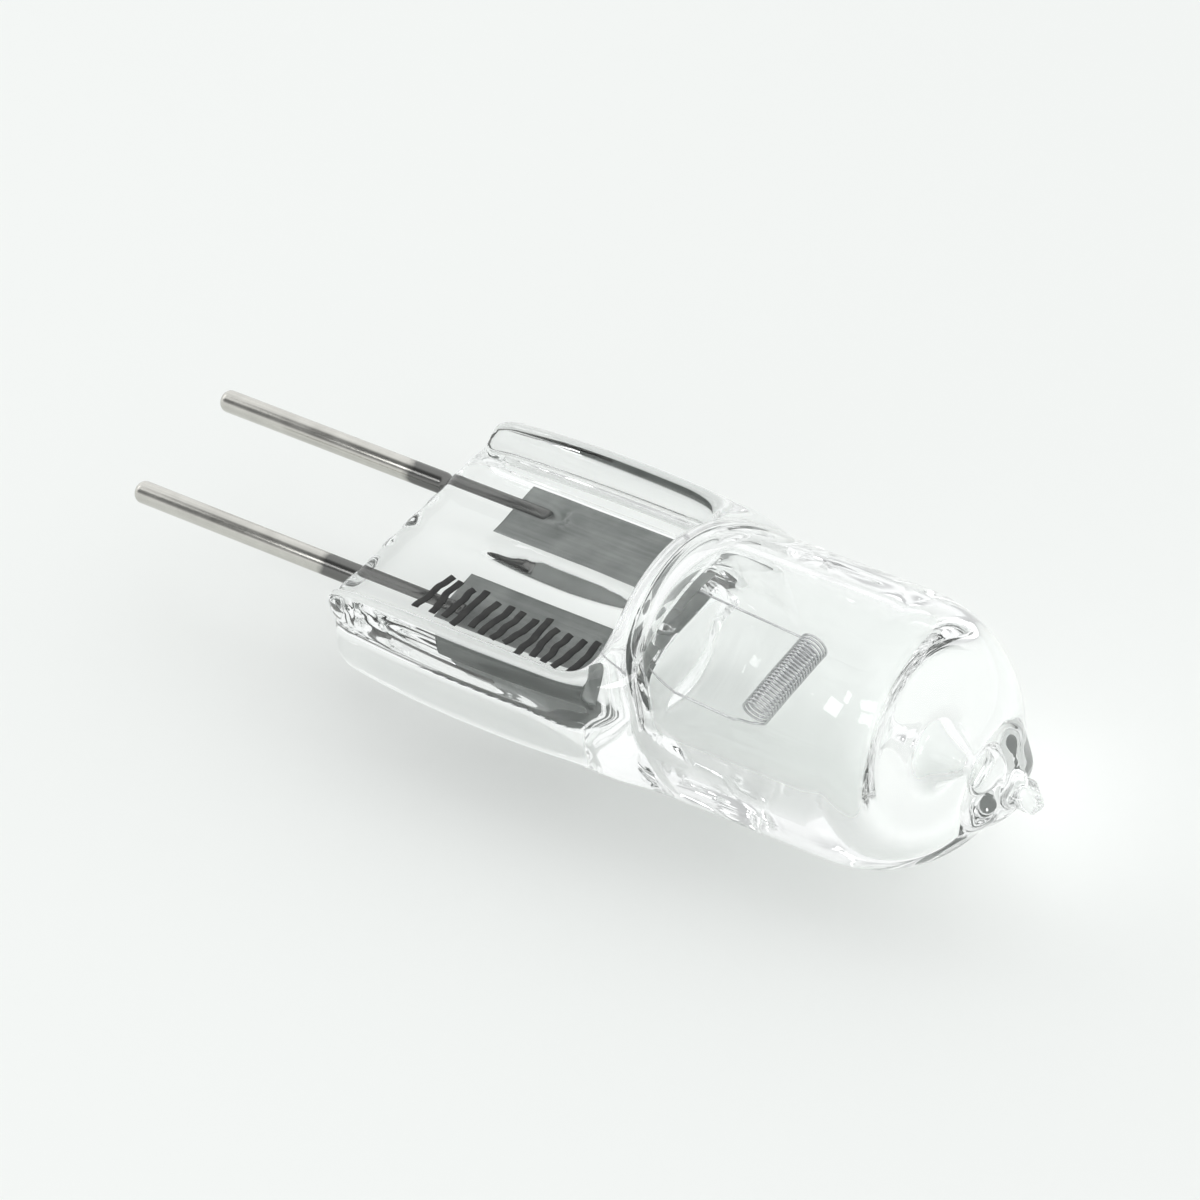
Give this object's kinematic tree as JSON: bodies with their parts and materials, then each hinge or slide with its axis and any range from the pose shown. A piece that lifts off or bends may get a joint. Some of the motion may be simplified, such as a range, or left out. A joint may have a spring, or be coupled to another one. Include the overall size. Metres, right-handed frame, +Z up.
{
  "type": "halogen capsule lamp",
  "caption": "Clear quartz halogen capsule lamp with a flat press seal, straight contact pins and a coiled filament, used as the light inside a microwave oven.",
  "frame": {"origin": "on the floor, under the middle of the lamp's box as it lies on its side", "axes": "+X along the lamp from the contact pins to the sealed tip, +Y across the lamp from the near pin to the far pin, +Z up"},
  "size_m": [0.0444, 0.014, 0.0119],
  "materials": {
    "quartz": "clear and fire-polished",
    "pin_metal": "drawn wire, dull grey",
    "seal_foil": "rolled foil, smooth and dark grey",
    "filament_wire": "drawn wire, satin"
  },
  "bodies": {
    "root": {"quartz_envelope": "quartz", "near_contact_pin": "pin_metal", "far_contact_pin": "pin_metal", "near_seal_foil": "seal_foil", "far_seal_foil": "seal_foil", "tungsten_filament": "filament_wire"}
  },
  "joints": []
}
